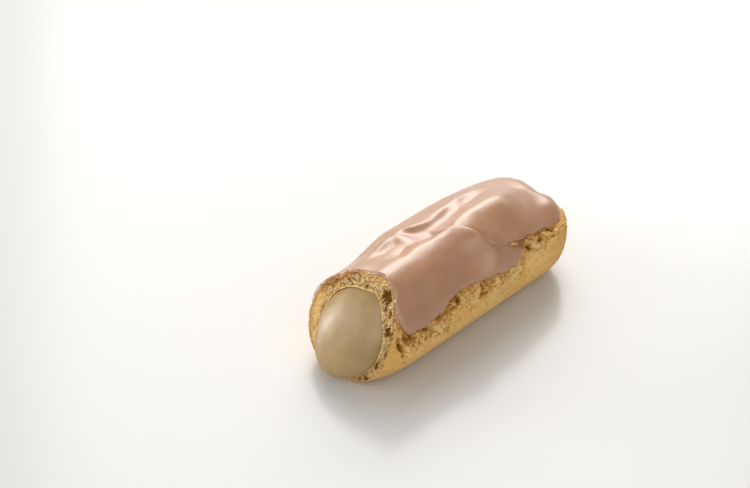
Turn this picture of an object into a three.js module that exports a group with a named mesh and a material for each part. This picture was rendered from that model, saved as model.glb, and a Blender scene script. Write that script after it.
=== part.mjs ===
import * as THREE from "three";

// Overall form in millimetres. The eclair lies along X, cut end towards -X, and rests on z = 0.
const SPINE_END_X = 35;
const LEFT_REACH = 24;
const RIGHT_REACH = 22.6;
const FAR_REACH = 21;
const FAR_SQUARENESS = 2.35;
const HEIGHT = 41;
const WIDEST_Z = 18.5;
const ROOF_POWER = 2.08;
const FOOT_POWER = 2.5;
const FOOT_SINK = 1.2;

// The top falls towards both ends, and the left flank draws in towards the cut.
const FAR_DROP = 5;
const FAR_DROP_FROM_X = 0;
const NEAR_DROP = 1;
const NEAR_DROP_FROM_X = -20;
const NEAR_DROP_RUN = 40;
const LEFT_TAPER = 1.6;
const LEFT_TAPER_FROM_X = -14;
const LEFT_TAPER_RUN = 40;
const LEFT_TAPER_POWER = 1.5;

// The near end was a round cap until a leaning cut took it off.
const CAP_FROM_X = -30;
const CAP_TIP_X = -68;
const CAP_FULLNESS = 3;
const CAP_LIFT_FULLNESS = 5;
const CAP_LIMIT = 0.995;
const CUT_X = -60.5;
const CUT_TURN = 0.05;
const CUT_LEAN = 0.42;
const CUT_STEPS = 40;

// Skin distances are measured over a round of this radius.
const SKIN_RADIUS = 24;

// Long fold in the top: its line over the skin, its depth and how far its slopes run.
const VALLEY_LINE = [[-50, 2.6], [-30, 0], [-11, -1.7], [4, 0.5], [24, 4.6], [38, 8]];
const VALLEY_DEPTH = 2.6;
const VALLEY_LEFT_RUN = 9;
const VALLEY_RIGHT_RUN = 5.2;
const VALLEY_NEAR_FADE_X = [-48, -34];
const VALLEY_FAR_FADE_X = [18, 40];

// Fallen left shoulder by the cut, then dips and a bump at the far end.
// Each is [place along the skin, place across it, radius, rise].
const SHOULDER = [-37, 19, 22, -3.1];
const SWELLS = [SHOULDER, [55, -2, 9, -2], [44.5, -9.5, 7, -1.5], [52, -17, 6, 0.7]];

// Icing: its lower edge as [path place, degrees from the top], then its coat.
const ICING_EDGE = [
  [-124, 74], [-112, 71], [-98, 62], [-84, 70], [-68, 60], [-50, 68], [-30, 59], [-10, 66],
  [24, 63], [34, 59], [52, 56.5], [57.5, 83.5], [69.5, 78], [73, 72], [79, 71.8], [86, 68],
  [93, 71], [101, 79], [116, 78.5], [124, 74],
];
const ICING_COAT = 1.5;
const ICING_GAP = 0.45;
const ICING_SET_BACK = 0.8;
const ICING_EDGE_COAT = 0.35;
const ICING_EDGE_ROUND = 2.4;
const ICING_SINK = ICING_COAT + ICING_GAP;
const ICING_SINK_RUN = [-3.5, 1.5];

// Two laps of icing end in raised lips: [place across, place along] and [place along, place across].
const FRONT_LIP = [
  [-31, 1.2], [-26, 4.2], [-21.5, 5.4], [-16, 3.6], [-10.7, 1.9], [-5.6, -1.9], [-2.5, -6],
];
const FRONT_LIP_RISE = 2.2;
const FRONT_LIP_FADE = [-7, -2];
const REAR_LIP = [[3, -20], [9, -21.2], [15, -22.8], [19, -26], [24, -34]];
const REAR_LIP_RISE = 1.3;
const REAR_LIP_FADE = [-14, -5];
const LIP_HALF_RUN = 1.3;
const LIP_REST = 0.25;
const LIP_FADE_RUN = 7;

// Near the cut the coat thins on the left of the top.
const THIN_COAT = 0.9;
const THIN_RUN = [2.5, 6];
const THIN_ACROSS = [-12, 0];

// Craggy band of crust below the icing, with a few deep pits [along, across, radius, depth].
const CRAG_DEPTH = 0.8;
const CRAG_PITCH = 8.3;
const CRAG_SLOW_PITCH = 12.7;
const CRAG_WANDER = 2;
const CRAG_SLANT = 3;
const CRAG_START = [0, 2.5];
const CRAG_END = [9, 16];
const PITS = [
  [-41.9, -36, 2.6, 1.2], [-34.5, -35, 2.6, 1.2], [-18.1, -31.8, 3, 1.8], [-5.2, -33, 2.6, 1.3],
  [23.1, -28.3, 2.8, 1.5], [29.2, -28.2, 2.8, 1.5], [37.5, -26.5, 2.6, 1.2],
];
const RELIEF_FADE_DEGREES = [100, 125];

// Walls of the hollow shell, the torn crumb between them, and the cream that swells out at the cut.
const NO_WALL = { left: 0, right: 0, top: 0, floor: 0, roofPower: ROOF_POWER, footPower: FOOT_POWER };
const SHELL_WALL = { left: 5.4, right: 7, top: 6.9, floor: 2.2, roofPower: 2.6, footPower: 3 };
const CRUMB_RINGS = [0.22, 0.5, 0.78];
const CRUMB_RELIEF = 1.1;
const CRUMB_SEED = 7;
const CREAM_GAP = 0.45;
const CREAM_SWELL = 9;
const CREAM_FULLNESS = 0.8;
const CREAM_SAG = 0.08;
const CREAM_RINGS = 6;

// How finely each skin is divided: along the run, round the far end and over the half section.
const CRUST_STEPS = { run: 35, fan: 14, iced: 11, bare: 11, spread: 1.4 };
const EVEN = { share: 0, at: 0 };
const LAP_CROWDING = { share: 0.06, at: 0.64 };
const HOLLOW_STEPS = { run: 16, fan: 8, section: 22 };
const CREAM_STEPS = { run: 14, fan: 8, section: 14 };

const { clamp, degToRad, lerp, seededRandom, smoothstep } = THREE.MathUtils;
const QUARTER_TURN = Math.PI / 2;
const SLOPE_STEP = 0.001;
const countTo = (last) => Array.from({ length: last + 1 }, (_, k) => k);

// Smooth line through [place, value] points that never overshoots them and is level beyond the ends.
function follow(points, place) {
  const last = points.length - 1;
  if (place <= points[0][0]) return points[0][1];
  if (place >= points[last][0]) return points[last][1];
  const rise = (k) => (points[k + 1][1] - points[k][1]) / (points[k + 1][0] - points[k][0]);
  const slope = (k) => {
    if (k === 0 || k === last) return 0;
    const before = rise(k - 1);
    const after = rise(k);
    return before * after > 0 ? (2 * before * after) / (before + after) : 0;
  };
  const k = points.findIndex((point) => point[0] > place) - 1;
  const run = points[k + 1][0] - points[k][0];
  const t = (place - points[k][0]) / run;
  const value = lerp(points[k][1], points[k + 1][1], t * t * (3 - 2 * t));
  return value + run * t * (1 - t) * ((1 - t) * slope(k) - t * slope(k + 1));
}

// Share of its full size that the section keeps towards the near end's round cap.
function capShare(x, fullness) {
  const depth = clamp((CAP_FROM_X - x) / (CAP_FROM_X - CAP_TIP_X), 0, CAP_LIMIT);
  return Math.sqrt(1 - depth ** fullness);
}

// Distance from the spine to the flank at a heading, inside a wall.
function reach(x, heading, wall) {
  const taper = LEFT_TAPER * Math.max((LEFT_TAPER_FROM_X - x) / LEFT_TAPER_RUN, 0) ** LEFT_TAPER_POWER;
  const isLeft = Math.sin(heading) >= 0;
  const full = isLeft ? LEFT_REACH - taper : RIGHT_REACH;
  const ahead = Math.abs(Math.cos(heading)) / (FAR_REACH - wall.left);
  const flank = full * capShare(x, CAP_FULLNESS) - (isLeft ? wall.left : wall.right);
  const across = Math.abs(Math.sin(heading)) / flank;
  return (ahead ** FAR_SQUARENESS + across ** FAR_SQUARENESS) ** (-1 / FAR_SQUARENESS);
}

// Height of the top at a place along the spine.
function roof(x) {
  const far = clamp((x - FAR_DROP_FROM_X) / (SPINE_END_X - FAR_DROP_FROM_X), 0, 1);
  const near = Math.max((NEAR_DROP_FROM_X - x) / NEAR_DROP_RUN, 0);
  return HEIGHT - FAR_DROP * far ** 2 - NEAR_DROP * near ** 2;
}

// Half section inside a wall: distance out from the spine and height, at an angle from the top.
function section(x, heading, angle, wall) {
  const sine = Math.sin(angle);
  const cosine = Math.cos(angle);
  const power = 2 / (cosine >= 0 ? wall.roofPower : wall.footPower);
  const out = reach(x, heading, wall) * Math.sign(sine) * Math.abs(sine) ** power;
  const rise = Math.abs(cosine) ** power;
  if (cosine >= 0) return [out, WIDEST_Z + (roof(x) - wall.top - WIDEST_Z) * rise];
  const fall = (WIDEST_Z + FOOT_SINK - wall.floor) * capShare(x, CAP_LIFT_FULLNESS) * rise;
  return [out, Math.max(WIDEST_Z - fall, wall.floor)];
}

// Point of a smooth form inside a wall, moved out square to its section by an offset.
function formPoint(x, heading, angle, offset, wall) {
  const [out, z] = section(x, heading, angle, wall);
  const [outBefore, zBefore] = section(x, heading, angle - SLOPE_STEP, wall);
  const [outAfter, zAfter] = section(x, heading, angle + SLOPE_STEP, wall);
  const square = new THREE.Vector2(zBefore - zAfter, outAfter - outBefore).normalize();
  const moved = out + offset * square.x;
  return new THREE.Vector3(x + moved * Math.cos(heading), moved * Math.sin(heading), z + offset * square.y);
}

// Place along the path that runs round the pastry, zero at the far tip and positive on the right.
function pathPlace(x, heading) {
  return -(SKIN_RADIUS * heading + Math.sign(heading) * (SPINE_END_X - x));
}

// Place along and across the unrolled skin.
function skinPlace(x, heading, angle) {
  const down = SKIN_RADIUS * angle;
  return [x + down * Math.cos(heading), down * Math.sin(heading)];
}

function icingEdge(place) {
  return degToRad(follow(ICING_EDGE, place));
}

// Distance inside the icing's lower edge, square to the edge's own slope.
function insideIcing(place, angle) {
  const slope = SKIN_RADIUS * (icingEdge(place + 1) - icingEdge(place - 1)) / 2;
  return SKIN_RADIUS * (icingEdge(place) - angle) / Math.hypot(1, slope);
}

// Round swell or dip of a given radius and rise.
function swell(along, across, [atAlong, atAcross, radius, rise]) {
  const share = Math.hypot(along - atAlong, across - atAcross) / radius;
  return share < 1 ? rise * (1 - share ** 2) ** 2 : 0;
}

// Folds of the top that the crust and its icing share.
function folds(along, across) {
  const fromValley = across - follow(VALLEY_LINE, along);
  const run = fromValley > 0 ? VALLEY_LEFT_RUN : VALLEY_RIGHT_RUN;
  const opening = smoothstep(along, ...VALLEY_NEAR_FADE_X) * (1 - smoothstep(along, ...VALLEY_FAR_FADE_X));
  const valley = VALLEY_DEPTH * opening * Math.cos(clamp(fromValley / run, -1, 1) * QUARTER_TURN) ** 2;
  return SWELLS.reduce((rise, spot) => rise + swell(along, across, spot), -valley);
}

// Ridges and pits of the bare crust, at a distance below the icing's edge.
function crags(place, below, along, across) {
  const band = smoothstep(below, ...CRAG_START) * (1 - smoothstep(below, ...CRAG_END));
  const quick = Math.sin(2 * Math.PI * place / CRAG_PITCH + Math.sin(below / CRAG_WANDER));
  const slow = Math.sin(2 * Math.PI * place / CRAG_SLOW_PITCH + below / CRAG_SLANT);
  const pits = PITS.reduce((depth, pit) => depth + swell(along, across, pit), 0);
  return band * (CRAG_DEPTH * (quick + slow) / 2 - pits);
}

// Height of a lap's lip at a distance inside its edge: steep outside, easing off inside.
function lip(inside) {
  const ease = LIP_REST + (1 - LIP_REST) * Math.exp(-((inside / LIP_FADE_RUN) ** 2));
  return smoothstep(inside, -LIP_HALF_RUN, LIP_HALF_RUN) * ease;
}

// Thickness of the icing, with its laps, its thin start at the cut and its rounded lower edge.
function icingCoat(along, across, inside, fromCut) {
  const behindFront = along - follow(FRONT_LIP, across);
  const front = lip(-behindFront) * (1 - smoothstep(across, ...FRONT_LIP_FADE));
  const rear = lip(across - follow(REAR_LIP, along)) * (1 - smoothstep(across, ...REAR_LIP_FADE));
  const bare = smoothstep(behindFront, -LIP_HALF_RUN, LIP_HALF_RUN);
  const thin = THIN_COAT * (1 - smoothstep(fromCut, ...THIN_RUN)) * smoothstep(across, ...THIN_ACROSS);
  const coat = ICING_COAT + FRONT_LIP_RISE * front + REAR_LIP_RISE * rear * bare - thin;
  const short = 1 - clamp(inside / ICING_EDGE_ROUND, 0, 1);
  return lerp(ICING_EDGE_COAT, coat, Math.sqrt(1 - short ** 2));
}

function cutX(point) {
  return CUT_X - CUT_TURN * point.y + CUT_LEAN * point.z;
}

// Place along X where a line of the skin meets the cut.
function startOnCut(pointAt, heading, row) {
  let x = CUT_X;
  for (let step = 0; step < CUT_STEPS; step += 1) x = (x + cutX(pointAt(x, heading, row))) / 2;
  return x;
}

// Places along a flank, from a start to the end of the spine, crowded by a share about one point.
function flankPlaces(start, run, { share, at }) {
  const turn = 2 * Math.PI;
  return countTo(run).map((k) => {
    const even = k / run;
    const drawn = share * (Math.sin(turn * (even - at)) + Math.sin(turn * at));
    return lerp(start, SPINE_END_X, even - drawn);
  });
}

// Angle of a crust row: even rows down to the icing's edge, then rows that spread out to the foot.
function rowAngle(row, place) {
  const { iced, bare, spread } = CRUST_STEPS;
  const edge = icingEdge(place);
  if (row <= iced) return edge * row / iced;
  return lerp(edge, Math.PI, ((row - iced) / bare) ** spread);
}

// Point of the crust, of the icing's underside or of its outside, on a crust row.
function skinPoint(x, heading, row, layer) {
  const place = pathPlace(x, heading);
  const angle = rowAngle(row, place);
  const [along, across] = skinPlace(x, heading, angle);
  const inside = insideIcing(place, angle);
  const fade = 1 - smoothstep(angle, ...RELIEF_FADE_DEGREES.map(degToRad));
  const bed = folds(along, across) - ICING_SINK * smoothstep(inside, ...ICING_SINK_RUN);
  if (layer === "crust") {
    return formPoint(x, heading, angle, fade * (bed + crags(place, -inside, along, across)), NO_WALL);
  }
  const underside = formPoint(x, heading, angle, bed + ICING_GAP, NO_WALL);
  if (layer === "underside") return underside;
  const coat = icingCoat(along, across, inside, x - cutX(underside));
  return formPoint(x, heading, angle, bed + ICING_GAP + coat, NO_WALL);
}

// Point of the hollow, or of the cream drawn in by a gap, on an even row.
function hollowPoint(x, heading, row, steps, gap) {
  const { left, right, top, floor } = SHELL_WALL;
  const drawnIn = { left: left + gap, right: right + gap, top: top + gap, floor: floor + gap };
  const angle = Math.PI * row / steps.section;
  const fall = swell(...skinPlace(x, heading, angle), SHOULDER);
  return formPoint(x, heading, angle, fall, { ...SHELL_WALL, ...drawnIn });
}

// Corners and faces of one closed body.
class Body {
  corners = [];
  faces = [];

  corner(point) {
    this.corners.push(point);
    return this.corners.length - 1;
  }

  triangle(a, b, c) {
    if (a !== b && b !== c && c !== a) this.faces.push(a, b, c);
  }

  // Joins two lines of corners of equal length.
  strip(first, second) {
    for (let k = 0; k + 1 < first.length; k += 1) {
      this.triangle(first[k], second[k], second[k + 1]);
      this.triangle(first[k], second[k + 1], first[k + 1]);
    }
  }

  // Lays corners in lines over the section: left flank out, far end round, right flank back.
  // The flanks share their corners along the spine and, for a whole section, along the foot.
  lay(rows, fan, placesAt, pointAt, isWhole) {
    const lines = [];
    rows.forEach((row, r) => {
      const left = placesAt(QUARTER_TURN, row).map((x) => [x, QUARTER_TURN]);
      const right = placesAt(-QUARTER_TURN, row).map((x) => [x, -QUARTER_TURN]);
      const far = countTo(fan).slice(1, -1).map((k) => [SPINE_END_X, QUARTER_TURN - Math.PI * k / fan]);
      const path = [...left, ...far, ...right.reverse()];
      const run = left.length - 1;
      const meets = r === 0 || (isWhole && r === rows.length - 1);
      path.forEach(([x, heading], i) => {
        lines[i] ??= [];
        const twin = lines[Math.min(path.length - 1 - i, run)];
        lines[i].push(meets && i > run ? twin[r] : this.corner(pointAt(x, heading, row)));
      });
    });
    return lines;
  }

  // Faces between laid lines, facing out or in.
  cover(lines, facesOut) {
    for (let i = 0; i + 1 < lines.length; i += 1) {
      if (facesOut) this.strip(lines[i], lines[i + 1]);
      else this.strip(lines[i + 1], lines[i]);
    }
  }

  mesh(name, material) {
    const geometry = new THREE.BufferGeometry().setFromPoints(this.corners);
    geometry.setIndex(this.faces);
    geometry.computeVertexNormals();
    const mesh = new THREE.Mesh(geometry, new THREE.MeshStandardMaterial(material));
    mesh.name = name;
    return mesh;
  }
}

// Closed border of laid lines: down the right flank from the top, back along the foot, up the left.
function border(lines) {
  const [left, ...others] = lines;
  const foot = others.slice(0, -1).reverse().map((line) => line.at(-1));
  return [...others.at(-1), ...foot, ...left.toReversed()];
}

// Closed border at the cut of a whole section.
function mouth(lines) {
  return [...lines.at(-1), ...lines[0].slice(0, -1).reverse()];
}

const crustAt = (x, heading, row) => skinPoint(x, heading, row, "crust");
const crustStart = (heading, row) => startOnCut(crustAt, heading, row);
const icedPlaces = (heading, row) => {
  return flankPlaces(crustStart(heading, row) + ICING_SET_BACK, CRUST_STEPS.run, LAP_CROWDING);
};

// Choux shell: the crust, the hollow inside it and the torn crumb between them at the cut.
function chouxShell() {
  const body = new Body();
  const rows = countTo(CRUST_STEPS.iced + CRUST_STEPS.bare);
  const crustPlaces = (heading, row) => [crustStart(heading, row), ...icedPlaces(heading, row)];
  const crust = body.lay(rows, CRUST_STEPS.fan, crustPlaces, crustAt, true);
  body.cover(crust, true);
  const { run, fan, section: last } = HOLLOW_STEPS;
  const hollowAt = (x, heading, row) => hollowPoint(x, heading, row, HOLLOW_STEPS, 0);
  const hollowPlaces = (heading, row) => flankPlaces(startOnCut(hollowAt, heading, row), run, EVEN);
  const hollow = body.lay(countTo(last), fan, hollowPlaces, hollowAt, true);
  body.cover(hollow, false);
  const outer = mouth(crust);
  const inner = mouth(hollow);
  const intoCrumb = new THREE.Vector3(1, CUT_TURN, -CUT_LEAN).normalize();
  seededRandom(CRUMB_SEED);
  const rings = CRUMB_RINGS.map((share) => {
    const ring = outer.slice(0, -1).map((corner, k) => {
      const point = body.corners[corner].clone().lerp(body.corners[inner[k]], share);
      return body.corner(point.addScaledVector(intoCrumb, CRUMB_RELIEF * seededRandom()));
    });
    return [...ring, ring[0]];
  });
  const lines = [outer, ...rings, inner];
  for (let k = 0; k + 1 < lines.length; k += 1) body.strip(lines[k], lines[k + 1]);
  return body.mesh("choux_shell", { color: 0xd8a257, roughness: 0.75, metalness: 0 });
}

// Cream filling: the whole hollow, ending in a round swell that sags forward out of the cut.
function creamFilling() {
  const body = new Body();
  const { run, fan, section: last } = CREAM_STEPS;
  const creamAt = (x, heading, row) => hollowPoint(x, heading, row, CREAM_STEPS, CREAM_GAP);
  const creamPlaces = (heading, row) => flankPlaces(startOnCut(creamAt, heading, row), run, EVEN);
  const lines = body.lay(countTo(last), fan, creamPlaces, creamAt, true);
  body.cover(lines, true);
  const rim = mouth(lines);
  const points = rim.slice(0, -1).map((corner) => body.corners[corner]);
  const sum = points.reduce((total, point) => total.add(point), new THREE.Vector3());
  const centre = sum.divideScalar(points.length);
  const forward = new THREE.Vector3(-1, 0, -CREAM_SAG).normalize();
  let before = rim;
  for (let ring = 1; ring < CREAM_RINGS; ring += 1) {
    const turn = QUARTER_TURN * ring / CREAM_RINGS;
    const corners = points.map((point) => {
      const drawnIn = centre.clone().lerp(point, Math.cos(turn) ** CREAM_FULLNESS);
      return body.corner(drawnIn.addScaledVector(forward, CREAM_SWELL * Math.sin(turn)));
    });
    const line = [...corners, corners[0]];
    body.strip(before, line);
    before = line;
  }
  const tip = body.corner(centre.addScaledVector(forward, CREAM_SWELL));
  body.strip(before, before.map(() => tip));
  return body.mesh("cream_filling", { color: 0xc9b48a, roughness: 0.5, metalness: 0 });
}

// Icing: one coat over the top that follows the crust's folds across a hair's gap.
function icing() {
  const body = new Body();
  const rows = countTo(CRUST_STEPS.iced);
  const layers = ["outside", "underside"].map((layer) => {
    const pointAt = (x, heading, row) => skinPoint(x, heading, row, layer);
    return body.lay(rows, CRUST_STEPS.fan, icedPlaces, pointAt, false);
  });
  body.cover(layers[0], true);
  body.cover(layers[1], false);
  body.strip(border(layers[0]), border(layers[1]));
  return body.mesh("icing", { color: 0xa87a66, roughness: 0.3, metalness: 0 });
}

const eclair = new THREE.Group();
eclair.add(chouxShell(), creamFilling(), icing());

export default eclair;
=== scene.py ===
import bpy
import numpy as np
from mathutils import Matrix


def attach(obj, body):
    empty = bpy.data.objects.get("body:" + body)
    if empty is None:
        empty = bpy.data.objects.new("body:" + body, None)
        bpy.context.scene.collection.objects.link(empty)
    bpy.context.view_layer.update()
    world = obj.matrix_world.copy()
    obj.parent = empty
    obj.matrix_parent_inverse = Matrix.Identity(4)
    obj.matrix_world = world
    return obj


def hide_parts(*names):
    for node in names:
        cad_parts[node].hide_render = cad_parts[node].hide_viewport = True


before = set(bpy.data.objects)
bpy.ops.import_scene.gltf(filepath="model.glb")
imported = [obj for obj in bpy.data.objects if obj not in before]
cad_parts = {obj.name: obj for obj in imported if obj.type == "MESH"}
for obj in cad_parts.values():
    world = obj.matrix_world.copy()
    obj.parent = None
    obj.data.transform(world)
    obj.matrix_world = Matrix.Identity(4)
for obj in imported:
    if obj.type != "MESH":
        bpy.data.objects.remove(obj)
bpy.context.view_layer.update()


# Choux shell: egg and flour paste piped as one thick finger and baked until it puffs up hollow.
# Its dry golden crust tears into crags and pits along the sides, and the leaning cut across one end
# shows a pale crumb full of bubbles. Sizes are millimetres, x runs along the eclair and z is up.

MM_PER_METRE = 1000
SPINE_END = 35.0
LEFT_REACH, RIGHT_REACH, FAR_REACH, FAR_SQUARENESS = 24.0, 22.6, 21.0, 2.35
HEIGHT, WIDEST_Z, FOOT_SINK = 41.0, 18.5, 1.2
CAP_START, CAP_RUN, CAP_MOST = -30, 38, 0.995
REACH_FULLNESS, FOOT_FULLNESS = 3, 5
TAPER, TAPER_START, TAPER_RUN, TAPER_POWER = 1.6, -14, 40, 1.5
FAR_FALL, PAST_RUN, NEAR_FALL_START, NEAR_FALL_RUN = 5, 8, -20, 40
CUT_X, CUT_TURN, CUT_LEAN, CUT_WANDER = -60.5, 0.05, 0.42, 0.25
SKIN_RADIUS = 24.0
NO_WALL = dict(left=0.0, right=0.0, top=0.0, floor=0.0, roof_power=2.08, foot_power=2.5)
SHELL_WALL = dict(left=7.2, right=6.8, top=7.0, floor=2.2, roof_power=2.3, foot_power=2.8)
TINY, SMALL_TURN = 1e-12, 1e-3
NOISE_CELLS, BUBBLE_CELLS = 64, 32
BUBBLE_LEAST, BUBBLE_SPREAD, BUBBLE_MOST = 0.12, 0.46, 0.58
BUBBLE_RARITY, BUBBLE_MIDDLE = 1.5, (0.1, 0.9)


def ease(value, low, high):
    """Smooth step: 0 up to low, 1 from high on, and 3t^2 - 2t^3 between them."""
    t = np.clip((value - low) / (high - low), 0, 1)
    return t * t * (3 - 2 * t)


def follow(points, place):
    """Smooth line through (place, value) points: cubic pieces whose slopes are the harmonic means of
    the rises on both sides, level at turning points and beyond the ends."""
    at, value = np.asarray(points, float).T
    rise = np.diff(value) / np.diff(at)
    before, after = rise[:-1], rise[1:]
    slope = np.zeros(len(at))
    slope[1:-1] = np.where(before * after > 0, 2 * before * after / (before + after + TINY), 0)
    place = np.clip(place, at[0], at[-1])
    k = np.clip(np.searchsorted(at, place, side="right") - 1, 0, len(at) - 2)
    run = at[k + 1] - at[k]
    t = (place - at[k]) / run
    between = value[k] + (value[k + 1] - value[k]) * t * t * (3 - 2 * t)
    return between + run * t * (1 - t) * ((1 - t) * slope[k] - t * slope[k + 1])


def rough(points, pitch, seed):
    """Soft random heights from -1 to 1: a seeded block of random numbers, one to each pitch, blended
    smoothly between the eight nearest."""
    block = np.random.default_rng(seed).uniform(-1, 1, (NOISE_CELLS, NOISE_CELLS, NOISE_CELLS))
    place = points / pitch
    cell = np.floor(place).astype(int)
    t = place - cell
    t = t * t * (3 - 2 * t)
    total = np.zeros(points.shape[:-1])
    for corner in np.ndindex(2, 2, 2):
        weight = np.prod(np.where(corner, t, 1 - t), axis=-1)
        x, y, z = np.moveaxis((cell + corner) % NOISE_CELLS, -1, 0)
        total += weight * block[x, y, z]
    return total


def warped(points, reach, pitch, seed):
    """Points moved about by soft random heights along each axis, so that round things turn uneven."""
    return points + reach * np.stack([rough(points, pitch, seed + axis) for axis in range(3)], axis=-1)


def bubbles(points, pitch, seed):
    """Round hollows from 0 to 1: one seeded centre and radius in each cell of a pitch, and for the deepest
    ball at a point its share of the largest radius times the root of 1 - (distance / radius)^2."""
    rng = np.random.default_rng(seed)
    cells = (BUBBLE_CELLS, BUBBLE_CELLS, BUBBLE_CELLS)
    centres = rng.uniform(*BUBBLE_MIDDLE, (*cells, 3))
    sizes = rng.uniform(0, 1, cells) ** BUBBLE_RARITY
    place = points / pitch
    cell = np.floor(place).astype(int)
    deepest = np.zeros(points.shape[:-1])
    for corner in np.ndindex(3, 3, 3):
        near = cell + corner - 1
        x, y, z = np.moveaxis(near % BUBBLE_CELLS, -1, 0)
        radius = BUBBLE_LEAST + BUBBLE_SPREAD * sizes[x, y, z]
        share = np.linalg.norm(place - near - centres[x, y, z], axis=-1) / radius
        deepest = np.maximum(deepest, radius / BUBBLE_MOST * np.sqrt(np.clip(1 - share**2, 0, 1)))
    return deepest


def cap_share(x, fullness):
    """Share of its full size that the section keeps towards the rounded near end: the root of
    1 - depth^fullness, with depth the share of the run beyond the cap's start."""
    return np.sqrt(1 - np.clip((CAP_START - x) / CAP_RUN, 0, CAP_MOST) ** fullness)


def section(x, heading, angle, wall):
    """Half section inside a wall, at an angle from the top: a superellipse with one power above its
    widest height and another below. Its reach is a superellipse of the heading, its top falls with the
    square of the distance towards both ends and goes on falling a little past the spine's end."""
    sine, cosine = np.sin(angle), np.cos(angle)
    power = np.where(cosine >= 0, 2 / wall["roof_power"], 2 / wall["foot_power"])
    is_left = np.sin(heading) >= 0
    taper = TAPER * np.clip((TAPER_START - x) / TAPER_RUN, 0, None) ** TAPER_POWER
    full = np.where(is_left, LEFT_REACH - taper, RIGHT_REACH) * cap_share(x, REACH_FULLNESS)
    ahead = np.abs(np.cos(heading)) / (FAR_REACH - wall["left"])
    across = np.abs(np.sin(heading)) / (full - np.where(is_left, wall["left"], wall["right"]))
    reach = (ahead**FAR_SQUARENESS + across**FAR_SQUARENESS) ** (-1 / FAR_SQUARENESS)
    out = reach * np.sign(sine) * np.abs(sine) ** power
    past = np.clip(out * np.cos(heading), 0, None)
    fall = FAR_FALL * np.clip(x / SPINE_END, 0, 1) ** 2
    fall = fall + np.clip((NEAR_FALL_START - x) / NEAR_FALL_RUN, 0, None) ** 2
    fall_past = 2 * FAR_FALL / SPINE_END * past * np.exp(-((past / PAST_RUN) ** 2))
    roof = HEIGHT - fall - fall_past - wall["top"]
    rise = np.abs(cosine) ** power
    above = WIDEST_Z + (roof - WIDEST_Z) * rise
    below = WIDEST_Z - (WIDEST_Z + FOOT_SINK - wall["floor"]) * cap_share(x, FOOT_FULLNESS) * rise
    return out, np.where(cosine >= 0, above, np.maximum(below, wall["floor"]))


def form_point(x, heading, angle, offset, wall):
    """Point of the section inside a wall, moved by an offset along the section's own square direction,
    which comes from its points a small turn before and after."""
    out, z = section(x, heading, angle, wall)
    out_before, z_before = section(x, heading, angle - SMALL_TURN, wall)
    out_after, z_after = section(x, heading, angle + SMALL_TURN, wall)
    along, up = z_before - z_after, out_after - out_before
    length = np.hypot(along, up)
    moved = out + offset * along / length
    return np.stack(np.broadcast_arrays(
        x + moved * np.cos(heading), moved * np.sin(heading), z + offset * up / length), axis=-1)


# The icing's lower edge as (place along the path, degrees from the top), its wander as sines of
# (height, length, swing, length of the swing, start), and its coat, for which the crust makes room.
ICING_EDGE = [
    (-124, 84), (-112, 82), (-98, 75), (-84, 72), (-68, 62), (-50, 68), (-30, 59), (-10, 66),
    (24, 63), (34, 59), (50.5, 57), (53, 66), (54.5, 74), (58, 80.5), (63, 80.5), (69.5, 77), (73, 72),
    (79, 71.8), (86, 68), (93, 71), (101, 79), (112, 81), (116.5, 80), (118, 73), (119.4, 61), (124, 52)]
EDGE_WANDER = [(0.7, 0.9, 1, 2.3, 0), (0.7, 1.7, 0, 1, 1), (0.55, 0.41, 1.5, 1.3, 0)]
EDGE_STEP = 0.5
ICING_COAT, ICING_GAP = 1.5, 0.12
BED_ROOM, BED_EDGE = 0.45, (-3.5, 1.5)
THIN_BY_CUT, BED_LESS_LEFT, COAT_LESS_LEFT = 0.95, 0.15, 0.2
THIN_RUN, LEFT_OF_TOP = (0.5, 6), (-10, 2)

# Folds as (place along, place across) for lines and (place along, height) for rises, with the runs
# from each ridge down to its left and right foot.
VALLEY_LINE = [(-46, 3), (-34, 2), (-28, -0.6), (-22, 0.8), (-15, -1.1), (-9, -2), (-1, -0.1), (5, 1.7),
               (20, 5.2), (38, 8)]
VALLEY_DEPTH = [(-44, 0), (-35, 0.8), (-28, 1.8), (-24, 1.6), (-19, 1.0), (-14, 1.6), (-8, 1.7),
                (-4, 1.6), (0, 1.6), (5, 1.5), (10, 0.9), (15, 1.4), (24, 0.9), (38, 0)]
VALLEY_WALL, RIGHT_WALL_POWER, LEFT_WALL_POWER = 5.4, 0.75, 1.35
RIDGE_FOOT = [(-44, 8.5), (-27, 7.3), (-17, 7.3), (-12, 4.5), (-6, 3), (0, 3.7), (6, 5.2), (16, 6.9),
              (26, 8.5), (38, 12)]
RIDGE_RISE = [(-36, 0), (-31, 0.2), (-25, 0.5), (-19.5, 0.1), (-12, 0.5), (-3, 0.1), (4, 0.35),
              (9, 0.05), (15, 0.3), (24, 0)]
RIDGE_SHIFT, RIDGE_RUNS = 3, (6, 3.4)
FRONT_CREST = [(-52, -8.8), (-30, -8.4), (-12, -7.5), (2, -9)]
FRONT_CREST_RISE = [(-52, 2.5), (-40, 2.2), (-25, 1.4), (-10, 1.0), (0, 0.9), (7, 0)]
REAR_CREST = [(0, -4.2), (10, -3.8), (17, -3), (24, -2), (35, -2), (45, -4)]
REAR_CREST_RISE = [(-3, 0), (4, 0.6), (12, 1.1), (26, 1.2), (36, 0.7), (43, 0)]
FRONT_CREST_RUNS, REAR_CREST_RUNS = (10, 14), (5, 10.5)

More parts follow.
